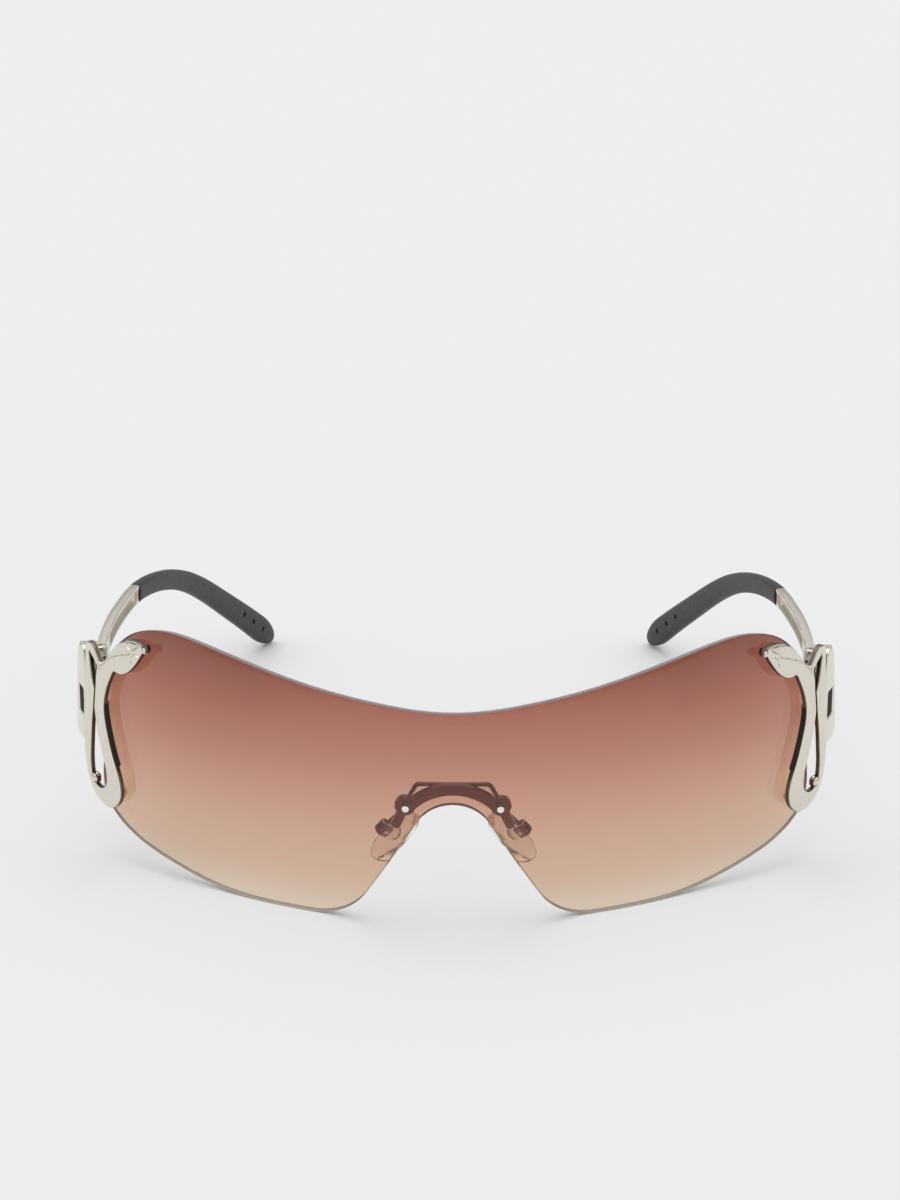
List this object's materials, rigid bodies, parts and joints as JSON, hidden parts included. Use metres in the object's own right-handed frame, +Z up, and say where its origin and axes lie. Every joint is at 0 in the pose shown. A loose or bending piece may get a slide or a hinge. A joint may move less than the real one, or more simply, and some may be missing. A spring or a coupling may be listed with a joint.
{
  "type": "shield sunglasses",
  "caption": "One-piece wrap-around shield sunglasses with a graduated tinted lens, coiled snake end pieces, folding metal temples with dark rubber sleeves and clear nose pads.",
  "frame": {"origin": "centre of the bounding box at the table: middle of the width and of the depth, on the plane that the lens and the temple tips stand on", "axes": "+X towards the wearer's left, +Y back along the open temples, +Z up; the lens faces -Y"},
  "size_m": [0.1492, 0.134, 0.0509],
  "materials": {
    "lens": "polished, tint fading from wine brown at the top to pale sand at the bottom",
    "silver": "polished pale silver plating",
    "nut": "polished",
    "pad": "clear, soft gloss",
    "black_cushion": "smooth",
    "sleeve": "matt, slightly soft sheen"
  },
  "bodies": {
    "front": {"shield_lens": "lens", "bridge_bar": "silver", "bridge_pins": "silver", "pad_wire": "silver", "serpent_left": "silver", "serpent_cushion_left": "black_cushion", "serpent_nuts_left": "nut", "hinge_front_left": "silver", "hinge_screw_left": "silver", "pad_box_left": "silver", "pad_screw_left": "silver", "serpent_right": "silver", "serpent_cushion_right": "black_cushion", "serpent_nuts_right": "nut", "hinge_front_right": "silver", "hinge_screw_right": "silver", "pad_box_right": "silver", "pad_screw_right": "silver"},
    "temple_left": {"temple_arm_left": "silver", "temple_sleeve_left": "sleeve", "hinge_temple_left": "silver"},
    "pad_left": {"nose_pad_left": "pad"},
    "temple_right": {"temple_arm_right": "silver", "temple_sleeve_right": "sleeve", "hinge_temple_right": "silver"},
    "pad_right": {"nose_pad_right": "pad"}
  },
  "joints": [
    {"name": "temple_left_fold", "type": "hinge", "parent": "front", "child": "temple_left", "pos_m": [0.0686, -0.02961, 0.038], "axis": [0, 0, 1], "range_deg": [0, 82]},
    {"name": "temple_right_fold", "type": "hinge", "parent": "front", "child": "temple_right", "pos_m": [-0.0686, -0.02961, 0.038], "axis": [0, 0, 1], "range_deg": [-76, 0]},
    {"name": "pad_left_rock", "type": "hinge", "parent": "front", "child": "pad_left", "pos_m": [0.01283, -0.05914, 0.01819], "axis": [0.288, 0.8844, 0.3673], "range_deg": [-8, 8]},
    {"name": "pad_right_rock", "type": "hinge", "parent": "front", "child": "pad_right", "pos_m": [-0.01283, -0.05914, 0.01819], "axis": [-0.288, 0.8844, 0.3673], "range_deg": [-8, 8]}
  ]
}
